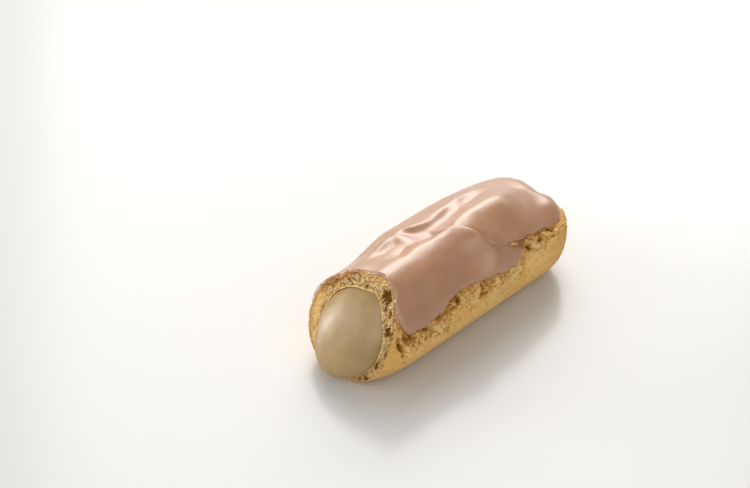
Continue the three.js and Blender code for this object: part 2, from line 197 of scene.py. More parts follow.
# Swells, dips and pits as (place along, place across, radius, rise or depth).
SWELLS = [(-37, 19, 22, -3.1), (54.5, -1.5, 10, -1.9), (44, -7, 8, -0.6), (47, -17, 8.5, 0.5),
          (-19.5, 5.4, 4, 0.5), (-4, -3.6, 2.8, -0.4), (-51, -37, 11, -1.6), (21, -8, 10.5, 1.6),
          (15, -19, 6, -0.7)]
HOLLOW_SWELLS = [(-37, 19, 22, -2.0), (-52, -45, 20, 2.6)]
PITS = [
    (-47.0, -37.6, 2.2, 1.6), (-41.9, -36, 2.6, 1.5), (-34.5, -35, 2.4, 1.5), (-27.2, -33.8, 2.2, 1.2),
    (-18.1, -31.8, 2.8, 2.5), (-14.5, -29.8, 1.8, 1.3), (-5.2, -33, 2.4, 1.9), (1.5, -33, 2.2, 1.7),
    (9.4, -30.8, 2.2, 1.6), (17.8, -23.2, 2.6, 2.3), (23.1, -28.3, 3.0, 2.5), (29.2, -28.2, 2.8, 2.3),
    (37.5, -26.5, 2.6, 1.8)]
PIT_NARROWING = 1.6
WHOLE_CRUST, WHOLE_NARROWING = (21, -40, 13, 1.0), 2.2


def swell(along, across, spot, narrow=1.0):
    """Round swell or dip: its rise times (1 - share^2)^2, with share the distance over its radius. It
    may be narrower along the eclair."""
    at_along, at_across, radius, rise = spot
    share = np.hypot(narrow * (along - at_along), across - at_across) / radius
    return rise * np.clip(1 - share**2, 0, 1) ** 2


def skin(x, heading, angle):
    """Places on the unrolled skin: along the path round the pastry (0 at the far tip, positive on the
    right), then along and across the top, measured over a round of the skin's radius."""
    place = -(SKIN_RADIUS * heading + np.sign(heading) * (SPINE_END - x))
    down = SKIN_RADIUS * angle
    return place, x + down * np.cos(heading), down * np.sin(heading)


def icing_edge(place):
    """Angle of the icing's lower edge from the top, with a small wander of three sines, two of which
    swing to and fro along the edge."""
    wander = sum(
        height * np.sin(place / length + swing * np.sin(place / swing_length) + start)
        for height, length, swing, swing_length, start in EDGE_WANDER)
    return np.radians(follow(ICING_EDGE, place) + wander)


def inside_icing(place, angle):
    """Distance inside the icing's lower edge, square to the edge's own slope, which is its rise over a
    step to either side."""
    slope = SKIN_RADIUS * (icing_edge(place + EDGE_STEP) - icing_edge(place - EDGE_STEP))
    return SKIN_RADIUS * (icing_edge(place) - angle) / np.hypot(1, slope)


def ridge(aside, left_run, right_run):
    """Long ridge seen across: cosine squared of the share of the way to its foot on either side."""
    return np.cos(np.clip(aside / np.where(aside > 0, left_run, right_run), -1, 1) * np.pi / 2) ** 2


def front_crest(along, across):
    """Crest of the lap next to the cut: a ridge on the crest's line times its rise, which is most by the
    cut."""
    aside = across - follow(FRONT_CREST, along)
    return follow(FRONT_CREST_RISE, along) * ridge(aside, *FRONT_CREST_RUNS)


def folds(along, across):
    """Folds that crust and icing share: a valley with a flat floor between its line and the foot of the
    left ridge, which climbs steeply in lumps, a crest on each of the two laps, and round swells."""
    valley, foot = follow(VALLEY_LINE, along), follow(RIDGE_FOOT, along)
    up_right = np.clip((valley - across) / VALLEY_WALL, 0, 1) ** RIGHT_WALL_POWER
    up_left = np.clip((across - foot + RIDGE_SHIFT) / VALLEY_WALL, 0, 1) ** LEFT_WALL_POWER
    depth = 1 - ease(np.where(across < valley, up_right, up_left), 0, 1)
    rise = -follow(VALLEY_DEPTH, along) * depth
    rise += follow(RIDGE_RISE, along) * ridge(across - foot - RIDGE_SHIFT, *RIDGE_RUNS)
    rise += front_crest(along, across)
    rise += follow(REAR_CREST_RISE, along) * ridge(across - follow(REAR_CREST, along), *REAR_CREST_RUNS)
    return rise + sum(swell(along, across, spot) for spot in SWELLS)


def thin_by_cut(across, from_cut):
    """How far the crust rises into the icing by the cut, and how much thinner the icing is there: nearly
    two thirds of its coat on the right, and half of it on the left of the top."""
    on_left = ease(across, *LEFT_OF_TOP)
    near = 1 - ease(from_cut, *THIN_RUN)
    return near * (THIN_BY_CUT - BED_LESS_LEFT * on_left), near * (THIN_BY_CUT - COAT_LESS_LEFT * on_left)


def icing_bed(along, across, inside, from_cut):
    """Height of the crust under the icing: the folds, sunk inside the icing's edge by its coat and a
    little room, and less by the cut."""
    sink = ICING_COAT + BED_ROOM - thin_by_cut(across, from_cut)[0]
    return folds(along, across) - sink * ease(inside, *BED_EDGE)


IN_CUT = (0, 1, 1)


def cut_x(points):
    """Place of the cut along x: a plane that turns with y and leans with z, and that wanders a little as
    a knife does in something soft."""
    plane = CUT_X - CUT_TURN * points[..., 1] + CUT_LEAN * points[..., 2]
    return plane + CUT_WANDER * rough(points * IN_CUT, pitch=5, seed=16)


# Crags: the torn band's place below the icing's edge, its ends, its ridges, and the tears in it.
BAND_TOP, BAND_FOOT, BAND_WANDER = (-0.4, 1.0), (5.5, 10.5), 2.5
BAND_BY_CUT, BAND_FAR_END, FAR_END_LESS = (-1, 2.5), (36, 50), 0.45
CRAG_RIDGE, CRAG_PITCHES = 0.35, (8.3, 12.7)
TEAR_STRETCH, COARSE_TEAR, FINE_TEAR = 1.5, 2.05, 1.3
TORN_LEAST, TORN_MORE, TORN_PATCHES = 0.35, 0.65, (-0.5, 0.1)
WALL_EDGE, FINE_WALLS = (0.04, 0.16), 1.5
CRAG_LIFT, LIFT_LESS_LEFT, LIFT_TURN, LIFT_RUN = 0.8, 0.4, (-8, 8), (0.8, 3)
LUMPS, BROAD_GRAIN, FINE_GRAIN = 0.3, 0.12, 0.06


def crust_relief(place, down, below, along, across, points):
    """Crags of the bare crust. In a band under the icing, weaker round the far end, the skin has torn
    open: two slow sines make ridges that run down, with a few deep pits and, in patches, small hollows
    between thin walls, which stand where noise of two pitches, drawn out along the edge, passes through
    zero. One strip stayed whole, and the rest has a faint grain."""
    foot = below + BAND_WANDER * rough(points, pitch=7, seed=10)
    band = ease(below, *BAND_TOP) * (1 - ease(foot, *BAND_FOOT))
    band = band * ease(points[..., 0] - cut_x(points), *BAND_BY_CUT)
    band = band * (1 - swell(along, across, WHOLE_CRUST, WHOLE_NARROWING))
    band = band * (1 - FAR_END_LESS * ease(points[..., 0], *BAND_FAR_END))
    ridges = CRAG_RIDGE * np.sin(2 * np.pi * place / CRAG_PITCHES[0] + np.sin(below / 2))
    ridges += CRAG_RIDGE * np.sin(2 * np.pi * place / CRAG_PITCHES[1] + below / 3)
    drawn = np.stack(np.broadcast_arrays(place / TEAR_STRETCH, down, 0 * place), axis=-1)
    drawn = warped(drawn, reach=0.8, pitch=1.9, seed=50)
    aside = np.stack(np.broadcast_arrays(along, across, 0 * along), axis=-1)
    aside = warped(aside, reach=0.9, pitch=1.8, seed=53)
    pits = sum(swell(aside[..., 0], aside[..., 1], pit, PIT_NARROWING) for pit in PITS)
    coarse = np.abs(rough(drawn, pitch=2.0, seed=12))
    fine = np.abs(rough(drawn, pitch=1.05, seed=19))
    wall = 1 - ease(np.minimum(coarse, FINE_WALLS * fine), *WALL_EDGE)
    patches = TORN_LEAST + TORN_MORE * ease(rough(points, pitch=5, seed=17), *TORN_PATCHES)
    hollow = pits + (COARSE_TEAR * coarse + FINE_TEAR * fine) * patches
    lumps = LUMPS * rough(points, pitch=5.5, seed=13)
    plain = BROAD_GRAIN * rough(points, pitch=6, seed=18) + FINE_GRAIN * rough(points, pitch=1.1, seed=15)
    lift = (CRAG_LIFT - LIFT_LESS_LEFT * ease(across, *LIFT_TURN)) * ease(below, *LIFT_RUN)
    return band * (lift + ridges + lumps - hollow) + plain, band * hollow, band, band * wall


HALF_STEPS = 40


def start_on_cut(point_at):
    """Place along x where a line of the skin meets the cut: half steps towards the cut's place."""
    x = CUT_X
    for _ in range(HALF_STEPS):
        x = (x + cut_x(point_at(x))) / 2
    return x


def lay(first, run, fan, rows, is_whole):
    """Corner numbers of lines laid from the cut along the left, round the far end and back along the
    right. Both flanks share their corners along the spine and, for a whole section, along the foot."""
    lines = 2 * run + fan + 1
    numbers = first + np.arange(lines * rows).reshape(lines, rows)
    right = np.arange(run + 1, lines)
    twins = np.minimum(lines - 1 - right, run)
    for row in ([0, rows - 1] if is_whole else [0]):
        numbers[right, row] = numbers[twins, row]
    return numbers


def path(shares, fan, left_start, right_start):
    """Places along x and headings of laid lines: shares of the way from the cut to the spine's end on
    the left, even headings round the far end, and the shares back on the right."""
    left = left_start + (SPINE_END - left_start) * shares[:, None]
    right = right_start + (SPINE_END - right_start) * shares[::-1, None]
    far = np.full((fan - 1, left.shape[1]), SPINE_END)
    headings = np.concatenate([
        np.full(len(shares), 0.5), 0.5 - np.arange(1, fan) / fan, np.full(len(shares), -0.5)]) * np.pi
    return np.concatenate([left, far, right]), headings[:, None]


CROWD_STEPS = 2001


def crowded(run, crowd, at, width):
    """Even shares from 0 to 1, crowded about one place: the inverse of the running sum of a density
    that is 1 with a bell on top."""
    fine = np.linspace(0, 1, CROWD_STEPS)
    total = np.cumsum(1 + crowd * np.exp(-(((fine - at) / width) ** 2)))
    total = (total - total[0]) / (total[-1] - total[0])
    return np.interp(np.linspace(0, 1, run + 1), total, fine)


def sheet(numbers):
    """Triangles between neighbouring lines of corner numbers, leaving out those closed to an edge."""
    a, b, c, d = numbers[:-1, :-1], numbers[1:, :-1], numbers[1:, 1:], numbers[:-1, 1:]
    faces = np.concatenate([
        np.stack([a, b, c], -1).reshape(-1, 3), np.stack([a, c, d], -1).reshape(-1, 3)])
    e, f, g = faces.T
    return faces[(e != f) & (f != g) & (g != e)]


def mouth(numbers):
    """Closed loop at the cut: down the right flank from the top and up the left."""
    return np.concatenate([numbers[-1], numbers[0, :-1][::-1]])


SHARP_EDGE = np.radians(75)


def put_together(name, points, faces, finishes, which=None, fields=None):
    """One piece from corners in millimetres and triangles, with a finish for each triangle and named
    values for each corner. Corners that no triangle uses are dropped."""
    used, corners = np.unique(faces, return_inverse=True)
    mesh = bpy.data.meshes.new(name)
    mesh.from_pydata((points[used] / MM_PER_METRE).tolist(), [], corners.reshape(-1, 3).tolist())
    mesh.polygons.foreach_set("use_smooth", np.ones(len(faces), bool))
    for finish in finishes:
        mesh.materials.append(finish)
    if which is not None:
        mesh.polygons.foreach_set("material_index", which)
    for field, values in (fields or {}).items():
        attribute = mesh.attributes.new(field, "FLOAT", "POINT")
        attribute.data.foreach_set("value", values[used].astype(np.float32))
    mesh.set_sharp_from_angle(angle=SHARP_EDGE)
    mesh.update()
    piece = bpy.data.objects.new(name, mesh)
    bpy.context.scene.collection.objects.link(piece)
    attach(piece, "root")
    return piece


class Finish:
    """A material with its shader, and short calls that add and join its nodes."""

    def __init__(self, name, **sockets):
        self.material = bpy.data.materials.new(name)
        self.material.use_nodes = True
        self.tree = self.material.node_tree
        self.shader = self.tree.nodes["Principled BSDF"]
        for socket, value in sockets.items():
            self.shader.inputs[socket.replace("_", " ")].default_value = value
        self.place = self.add("ShaderNodeTexCoord").outputs["Object"]

    def add(self, kind, **settings):
        """A new node with its settings."""
        node = self.tree.nodes.new(kind)
        for setting, value in settings.items():
            setattr(node, setting, value)
        return node

    def join(self, source, socket):
        """A link from another node, or a plain value set on the socket."""
        if hasattr(source, "links"):
            self.tree.links.new(source, socket)
        else:
            socket.default_value = source

    def grain(self, pitch, detail=2.0, stretch=None):
        """Noise from 0 to 1 with a pitch in metres, drawn out by a stretch along each axis."""
        node = self.add("ShaderNodeTexNoise")
        place = self.place
        if stretch:
            turn = self.add("ShaderNodeMapping")
            self.join(place, turn.inputs["Vector"])
            turn.inputs["Scale"].default_value = stretch
            place = turn.outputs["Vector"]
        self.join(place, node.inputs["Vector"])
        node.inputs["Scale"].default_value = 1 / pitch
        node.inputs["Detail"].default_value = detail
        return node.outputs["Fac"]

    def field(self, name):
        """A named value of the piece's corners."""
        return self.add("ShaderNodeAttribute", attribute_name=name).outputs["Fac"]

    def spread(self, source, low, high, to_low=0.0, to_high=1.0):
        """A value carried smoothly from one range to another."""
        node = self.add("ShaderNodeMapRange", interpolation_type="SMOOTHSTEP")
        for k, value in enumerate([source, low, high, to_low, to_high]):
            self.join(value, node.inputs[k])
        return node.outputs["Result"]

    def blend(self, share, first, second):
        """Colour between two colours."""
        node = self.add("ShaderNodeMix", data_type="RGBA")
        sockets = (node.inputs[0], node.inputs[6], node.inputs[7])
        for socket, value in zip(sockets, (share, first, second)):
            self.join(value if hasattr(value, "links") or np.isscalar(value) else (*value, 1), socket)
        return node.outputs[2]

    def raise_by(self, *layers):
        """Bump from (height, depth in metres) layers, one on another."""
        under = None
        for height, depth in layers:
            bump = self.add("ShaderNodeBump")
            bump.inputs["Strength"].default_value = 1
            bump.inputs["Distance"].default_value = depth
            self.join(height, bump.inputs["Height"])
            if under:
                self.join(under, bump.inputs["Normal"])
            under = bump.outputs["Normal"]
        self.join(under, self.shader.inputs["Normal"])

    def colour(self, source):
        """The shader's colour."""
        self.join(source, self.shader.inputs["Base Color"])

    def roughness(self, source):
        """The shader's roughness."""
        self.join(source, self.shader.inputs["Roughness"])


RUN, FAN, ICED_ROWS, BARE_ROWS = 220, 54, 66, 96
ROWS = ICED_ROWS + BARE_ROWS + 1
HOLLOW_RUN, HOLLOW_FAN = 6, 6
RINGS = 46
FOOT_CROWD = 1.7
FOOT_FADE = np.radians([100, 125])
HOLLOW_CREST = 0.6


def row_angle(row, place):
    """Angle of a row: even rows down to the icing's edge, then rows that spread towards the foot."""
    edge = icing_edge(place)
    spread = np.clip((row - ICED_ROWS) / BARE_ROWS, 0, 1) ** FOOT_CROWD
    return np.where(row <= ICED_ROWS, edge * row / ICED_ROWS, edge + (np.pi - edge) * spread)


def crust_point(x, heading, row):
    """Point of the crust on a row: the form moved out by the icing's bed and the crust's relief, which
    both fade out round the foot. Gives its depth in a pit, how torn it is, whether it is a thin wall
    and its distance inside the icing's edge as well."""
    place = skin(x, heading, 0)[0]
    angle = row_angle(row, place)
    place, along, across = skin(x, heading, angle)
    inside = inside_icing(place, angle)
    fade = 1 - ease(angle, *FOOT_FADE)
    base = form_point(x, heading, angle, 0, NO_WALL)
    relief, hollow, torn, wall = crust_relief(place, SKIN_RADIUS * angle, -inside, along, across, base)
    offset = fade * (icing_bed(along, across, inside, x - cut_x(base)) + relief)
    point = form_point(x, heading, angle, offset, NO_WALL)
    return point, fade * hollow, fade * torn, fade * wall, inside


def hollow_point(x, heading, angle, gap):
    """Point of the hollow drawn in by a gap. It sinks with the fallen shoulder above it, rises under the
    front crest and widens low on the right."""
    wall = dict(SHELL_WALL)
    for side in ("left", "right", "top", "floor"):
        wall[side] += gap
    _, along, across = skin(x, heading, angle)
    offset = HOLLOW_CREST * front_crest(along, across)
    offset = offset + sum(swell(along, across, spot) for spot in HOLLOW_SWELLS)
    return form_point(x, heading, angle, offset, wall)


rows = np.arange(ROWS)
sides = np.array([0.5, -0.5]) * np.pi
starts = [start_on_cut(lambda x: crust_point(x, side, rows)[0]) for side in sides]
x, heading = path(crowded(RUN, crowd=0.6, at=0.45, width=0.5), FAN, *starts)
crust, crust_hollow, crust_torn, crust_wall, crust_inside = crust_point(x, heading, rows)
crust_numbers = lay(0, RUN, FAN, ROWS, True)

angles = [row_angle(rows, skin(start, side, 0)[0]) for start, side in zip(starts, sides)]
hollow_starts = [
    start_on_cut(lambda x: hollow_point(x, side, angle, 0)) for side, angle in zip(sides, angles)]
x, heading = path(np.linspace(0, 1, HOLLOW_RUN + 1), HOLLOW_FAN, *hollow_starts)
hollow_angle = np.concatenate([
    np.repeat(angles[:1], HOLLOW_RUN + HOLLOW_FAN // 2 + 1, axis=0),
    np.repeat(angles[1:], HOLLOW_RUN + HOLLOW_FAN - HOLLOW_FAN // 2, axis=0)])
hollow = hollow_point(x, heading, hollow_angle, 0)
hollow_numbers = lay(crust[..., 0].size, HOLLOW_RUN, HOLLOW_FAN, ROWS, True)

# Crumb: burst bubbles as (depth, pitch, seed), large holes as (y, z, half width, half height, depth),
# and where it is pressed smooth, as ranges of y, z and the share of the way in from the rim.
CRUMB_BUBBLES = [(0.8, 1.9, 21), (0.8, 1.25, 22), (0.7, 0.85, 23)]
CRUMB_HOLES = [(-11.2, 35.6, 2.1, 2.6, 3.2), (-15.6, 24.4, 1.5, 1.9, 2.6), (-14.6, 30.4, 0.9, 1.4, 1.5),
               (-14.9, 11.6, 1.0, 1.3, 1.5), (-12.6, 5.2, 1.2, 0.9, 1.6)]
PRESSED_Y, PRESSED_Z, PRESSED_SHARE, PRESSED_SMOOTH = (4, 12), (23, 30), (0.5, 0.8), 0.95
FROM_RIM, TO_CREAM, CREAM_SMOOTH = (0, 0.1), (0.93, 1), 0.8
SMALL_PORES, PORE_EDGE, HOLE_WANDER, HOLE_FRAY = 0.5, (0.05, 0.55), 0.35, 0.2
COARSE_TORN, FINE_TORN, TORN_TO_CREAM = 0.3, 0.25, (0.85, 1)


def crumb_depth(points, share):
    """How far the torn crumb lies behind the cut: burst bubbles of three sizes, the few large holes as
    half balls, and soft unevenness, level with the crust at the rim. Low on the left it is pressed
    smooth. Gives the pores' depth, the whole depth and how much it is pressed."""
    flat = warped(points * IN_CUT, reach=0.3, pitch=0.9, seed=26) * IN_CUT
    depth = sum(deep * bubbles(flat, pitch, seed) for deep, pitch, seed in CRUMB_BUBBLES)
    depth = depth + SMALL_PORES * ease(rough(flat, pitch=0.8, seed=20), *PORE_EDGE)
    for y, z, half_width, half_height, deep in CRUMB_HOLES:
        away = np.hypot((points[..., 1] - y) / half_width, (points[..., 2] - z) / half_height)
        away = away + HOLE_WANDER * rough(flat, pitch=1.0, seed=24)
        away = away + HOLE_FRAY * rough(flat, pitch=0.5, seed=27)
        depth = np.maximum(depth, deep * np.sqrt(np.clip(1 - away**2, 0, 1)))
    pressed = ease(points[..., 1], *PRESSED_Y) * (1 - ease(points[..., 2], *PRESSED_Z))
    pressed = pressed * (1 - ease(share, *PRESSED_SHARE))
    depth = depth * ease(share, *FROM_RIM) * (1 - CREAM_SMOOTH * ease(share, *TO_CREAM))
    depth = depth * (1 - PRESSED_SMOOTH * pressed)
    torn = COARSE_TORN * (1 + rough(flat, pitch=3, seed=25))
    torn = torn + FINE_TORN * (1 + rough(flat, pitch=1.1, seed=29))
    torn = torn * ease(share, *FROM_RIM) * (1 - ease(share, *TORN_TO_CREAM))
    return depth, depth + torn, pressed


corners = np.concatenate([crust.reshape(-1, 3), hollow.reshape(-1, 3)])
rim, lining = mouth(crust_numbers), mouth(hollow_numbers)
share = np.linspace(0, 1, RINGS + 2)[1:-1, None]
crumb = corners[rim[:-1]] + (corners[lining[:-1]] - corners[rim[:-1]]) * share[..., None]
pore, depth, pressed = crumb_depth(crumb, share)
into_crumb = np.array([1, CUT_TURN, -CUT_LEAN]) / np.linalg.norm([1, CUT_TURN, -CUT_LEAN])
crumb = crumb + depth[..., None] * into_crumb
rings = len(corners) + np.arange(share.size * (len(rim) - 1)).reshape(share.size, -1)
crumb_numbers = np.vstack([rim, np.hstack([rings, rings[:, :1]]), lining])
corners = np.concatenate([corners, crumb.reshape(-1, 3)])
shell_faces = [sheet(crust_numbers), sheet(hollow_numbers[::-1]), sheet(crumb_numbers)]

# What the finishes need at each corner: the crust is toasted by the icing's edge and at both ends, the
# crumb by its rim, icing has soaked into the crumb at the top left, and a pale fringe meets the cream.
FAR_TOAST, CUT_TOAST, END_TOAST = (18, 48), (2, 14), 0.7
EDGE_TOAST, RIM_TOAST, RIM_TOAST_Z, RIM_LESS_HIGH = (0, 5), (0.02, 0.12), (27, 32), 0.8
SOAKED_SHARE, SOAKED_Y, SOAKED_Z = (0.3, 0.6), (0, 7), (20, 25)
FRINGE_FROM, FRINGE_TO, FRINGE_LESS, FRINGE_PATCHES = (0.86, 0.95), (0.97, 1), 0.5, (-0.5, 0.3)


def on_shell(on_crust, on_crumb):
    """Values for all corners of the shell, in the order of the corners: those of the crust, zeros in the
    hollow, and those of the crumb."""
    parts = [(on_crust, crust), (0.0, hollow), (on_crumb, crumb)]
    return np.concatenate([np.broadcast_to(value, part.shape[:-1]).ravel() for value, part in parts])


by_cut = 1 - ease(crust[..., 0] - cut_x(crust), *CUT_TOAST)
ends = ease(crust[..., 0], *FAR_TOAST) + END_TOAST * by_cut
crust_toast = np.clip(1 - ease(np.abs(crust_inside), *EDGE_TOAST) + END_TOAST * ends, 0, 1)
rim_toast = (1 - ease(share, *RIM_TOAST)) * (1 - RIM_LESS_HIGH * ease(crumb[..., 2], *RIM_TOAST_Z))
soaked = (1 - ease(share, *SOAKED_SHARE)) * ease(crumb[..., 1], *SOAKED_Y)
soaked = soaked * ease(crumb[..., 2], *SOAKED_Z)
fringe = ease(share, *FRINGE_FROM) * (1 - FRINGE_LESS * ease(share, *FRINGE_TO))
fringe = fringe * ease(rough(crumb, pitch=1.3, seed=28), *FRINGE_PATCHES)
shell_fields = dict(
    pit=on_shell(crust_hollow, pore), torn=on_shell(crust_torn, 0.0), wall=on_shell(crust_wall, 0.0),
    toast=on_shell(crust_toast, np.maximum(rim_toast, pressed)), soaked=on_shell(0.0, soaked),
    fringe=on_shell(0.0, fringe))

GOLDEN, LIGHT_GOLDEN, PALE_GOLDEN = (0.90, 0.535, 0.162), (0.95, 0.64, 0.24), (0.98, 0.70, 0.31)
SPECKLE_BROWN, TOAST_BROWN, CHINK_SHADE_BROWN = (0.80, 0.40, 0.095), (0.70, 0.34, 0.075), (0.50, 0.215, 0.036)
WALL_GOLDEN_AND_HIGHLIGHT, PIT_SHADE_BROWN, DEEP_PIT_SHADE = (0.99, 0.715, 0.30), (0.56, 0.25, 0.042), (0.24, 0.095, 0.015)
baked_crust = Finish("baked_crust", Specular_IOR_Level=0.3)
patch = baked_crust.spread(baked_crust.grain(0.009, 3), 0.3, 0.7)
golden = baked_crust.blend(patch, GOLDEN, LIGHT_GOLDEN)
speckle = baked_crust.spread(baked_crust.grain(0.0011, 3), 0.45, 0.72)
golden = baked_crust.blend(speckle, golden, SPECKLE_BROWN)
pale = baked_crust.spread(baked_crust.grain(0.0021, 2), 0.55, 0.75, 0, 0.6)
golden = baked_crust.blend(pale, golden, PALE_GOLDEN)
browned = baked_crust.spread(baked_crust.field("toast"), 0, 1, 0, 0.63)
golden = baked_crust.blend(browned, golden, TOAST_BROWN)
# Thin walls between the crags' hollows are painted paler gold: partly the paler colour of thin crust, and
# partly a painted highlight of light catching these raised walls.
thin_wall_highlight = baked_crust.spread(baked_crust.field("wall"), 0, 1, 0, 0.9)
golden = baked_crust.blend(thin_wall_highlight, golden, WALL_GOLDEN_AND_HIGHLIGHT)
# Painted shade: small dark cracks in the torn band, a darkness that stands in for shade in cracks too
# small to be shaped.
chink_shade = baked_crust.spread(baked_crust.grain(0.0012, 3), 0.54, 0.67, 0, baked_crust.field("torn"))
golden = baked_crust.blend(chink_shade, golden, CHINK_SHADE_BROWN)
# Painted shade: the crust is darkened with the depth of its pits and hollows, and darker still where they
# are deepest.
pit_depth_shade = baked_crust.spread(baked_crust.field("pit"), 0.7, 1.6, 0, 0.8)
golden = baked_crust.blend(pit_depth_shade, golden, PIT_SHADE_BROWN)
deep = baked_crust.spread(baked_crust.field("pit"), 1.3, 2.5)
baked_crust.colour(baked_crust.blend(deep, golden, DEEP_PIT_SHADE))
baked_crust.roughness(baked_crust.spread(baked_crust.grain(0.0015), 0.3, 0.7, 0.55, 0.8))
flakes = baked_crust.spread(baked_crust.grain(0.0012, 4), 0.3, 0.7, 0, baked_crust.field("torn"))
baked_crust.raise_by(
    (baked_crust.grain(0.0022, 4), 0.0006), (baked_crust.grain(0.0007, 3), 0.00025), (flakes, 0.00035))

CRUMB_YELLOW, CRUMB_PALE, FINE_PORE_SHADE = (0.84, 0.55, 0.22), (0.91, 0.68, 0.35), (0.40, 0.22, 0.068)
SOAKED_BROWN, RIM_GOLDEN = (0.50, 0.17, 0.06), (0.90, 0.58, 0.20)
FRINGE_PALE, PORE_SHADE_BROWN = (0.97, 0.80, 0.44), (0.33, 0.17, 0.04)
torn_crumb = Finish("torn_crumb", Roughness=0.85, Specular_IOR_Level=0.2)
patch = torn_crumb.spread(torn_crumb.grain(0.004, 3), 0.35, 0.65)
pale = torn_crumb.blend(patch, CRUMB_YELLOW, CRUMB_PALE)
# Painted shade: dark flecks for pores too small to be shaped.
fine_pore_shade = torn_crumb.spread(torn_crumb.grain(0.0009, 3), 0.45, 0.62, 0, 0.88)
pale = torn_crumb.blend(fine_pore_shade, pale, FINE_PORE_SHADE)
stain = torn_crumb.spread(torn_crumb.grain(0.0014, 3), 0.47, 0.57)
stain = torn_crumb.spread(torn_crumb.field("soaked"), 0, 1, 0, stain)
pale = torn_crumb.blend(stain, pale, SOAKED_BROWN)
browned = torn_crumb.spread(torn_crumb.field("toast"), 0, 1, 0, 0.6)
pale = torn_crumb.blend(browned, pale, RIM_GOLDEN)
pale_edge = torn_crumb.spread(torn_crumb.field("fringe"), 0, 1, 0, 0.8)
pale = torn_crumb.blend(pale_edge, pale, FRINGE_PALE)
# Painted shade: the crumb is darkened with the depth of its pores and holes.
pores = torn_crumb.spread(torn_crumb.field("pit"), 0.15, 1.3)
torn_crumb.colour(torn_crumb.blend(pores, pale, PORE_SHADE_BROWN))
torn_crumb.raise_by((torn_crumb.grain(0.0006, 3), 0.0003))

choux_shell = put_together(
    "choux_shell_baked", corners, np.concatenate(shell_faces), [baked_crust.material, torn_crumb.material],
    np.repeat([0, 0, 1], [len(faces) for faces in shell_faces]), shell_fields)
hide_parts("choux_shell")


# Cream filling: a thick coffee-coloured custard cream that was piped in until the shell was full.
# At the cut it swells forward in one smooth dome that sags a little and keeps a satin skin, and at the
# top it has drawn back a little under the crumb.

CREAM_RUN, CREAM_FAN, CREAM_ROWS, CREAM_RINGS = 8, 10, 121, 64
CREAM_GAP, CREAM_SWELL = 0.08, 9.0
CREAM_SETBACK, SETBACK_ANGLES = 1.2, (0.7, 2.0)
DOME_ROUNDNESS, DOME_SAG, DOME_REACH, KEPT_WAVES = 0.8, 0.12, 16, 3
LATE_AT_TOP, SOON_LOW_LEFT, LOW_TO_LEFT = 0.5, 0.35, 0.7
SMOOTHED, UNEVEN, BROAD_UNEVEN, FINE_UNEVEN = (0.1, 1.1), (0.1, 0.7), 0.3, 0.08

angle = np.linspace(0, np.pi, CREAM_ROWS)
setback = CREAM_SETBACK * (1 - ease(angle, *SETBACK_ANGLES))
starts = [start_on_cut(lambda x: hollow_point(x, side, angle, CREAM_GAP)) + setback for side in sides]
x, heading = path(np.linspace(0, 1, CREAM_RUN + 1), CREAM_FAN, *starts)
filling = hollow_point(x, heading, angle, CREAM_GAP)
filling_numbers = lay(0, CREAM_RUN, CREAM_FAN, CREAM_ROWS, True)
rim = mouth(filling_numbers)
edge = filling.reshape(-1, 3)[rim[:-1]]


def cream_dome(edge, turn):
    """Dome on a closed edge: each point moves from the edge to the middle by a power of the turn's
    cosine and forward by the swell times its sine, raised to 1.5 towards the top, where it starts
    later, and to about two thirds low down and on the left, where it starts sooner. On the way the edge
    gives way to its own two longest waves, and a soft unevenness lies on top."""
    middle = edge.mean(axis=0)
    waves = np.fft.rfft(edge, axis=0)
    waves[KEPT_WAVES:] = 0
    smooth = ease(turn, *SMOOTHED)[..., None]
    edge = edge * (1 - smooth) + np.fft.irfft(waves, len(edge), axis=0) * smooth
    forward = np.array([-1, 0, -DOME_SAG]) / np.hypot(1, DOME_SAG)
    aside, above = edge[..., 1] - middle[1], edge[..., 2] - middle[2]
    late = 1 + LATE_AT_TOP * ease(above, 0, DOME_REACH)
    late = late - SOON_LOW_LEFT * ease(LOW_TO_LEFT * aside - above, 0, DOME_REACH)
    dome = middle + (edge - middle) * (np.cos(turn) ** DOME_ROUNDNESS)[..., None]
    dome = dome + forward * (CREAM_SWELL * np.sin(turn) ** late)[..., None]
    uneven = BROAD_UNEVEN * rough(dome, pitch=13, seed=31) + FINE_UNEVEN * rough(dome, pitch=5, seed=32)
    return dome + forward * (uneven * ease(turn, *UNEVEN))[..., None]


turn = np.linspace(0, np.pi / 2, CREAM_RINGS + 1)[1:, None]
dome = cream_dome(edge, turn)
rings = filling[..., 0].size + np.arange(CREAM_RINGS * len(edge)).reshape(CREAM_RINGS, -1)
rings[-1] = rings[-1, 0]
dome_numbers = np.vstack([rim, np.hstack([rings, rings[:, :1]])])

BEIGE, LIGHT_BEIGE, DARK_BEIGE = (0.41, 0.258, 0.087), (0.48, 0.315, 0.117), (0.35, 0.213, 0.067)
custard = Finish(
    "custard_cream", IOR=1.62, Specular_IOR_Level=0.9, Subsurface_Weight=0.25, Subsurface_Scale=0.002)
custard.shader.inputs["Subsurface Radius"].default_value = (1.0, 0.65, 0.35)
patch = custard.spread(custard.grain(0.012, 2), 0.3, 0.7)
beige = custard.blend(patch, BEIGE, LIGHT_BEIGE)
cloud = custard.spread(custard.grain(0.004, 2), 0.4, 0.75, 0, 0.45)
custard.colour(custard.blend(cloud, beige, DARK_BEIGE))
custard.roughness(custard.spread(custard.grain(0.003, 2), 0.3, 0.7, 0.36, 0.44))
custard.raise_by((custard.grain(0.005, 2), 0.00016))

cream_filling = put_together(
    "cream_filling_piped", np.concatenate([filling.reshape(-1, 3), dome.reshape(-1, 3)]),
    np.concatenate([sheet(filling_numbers), sheet(dome_numbers)]), [custard.material])
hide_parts("cream_filling")


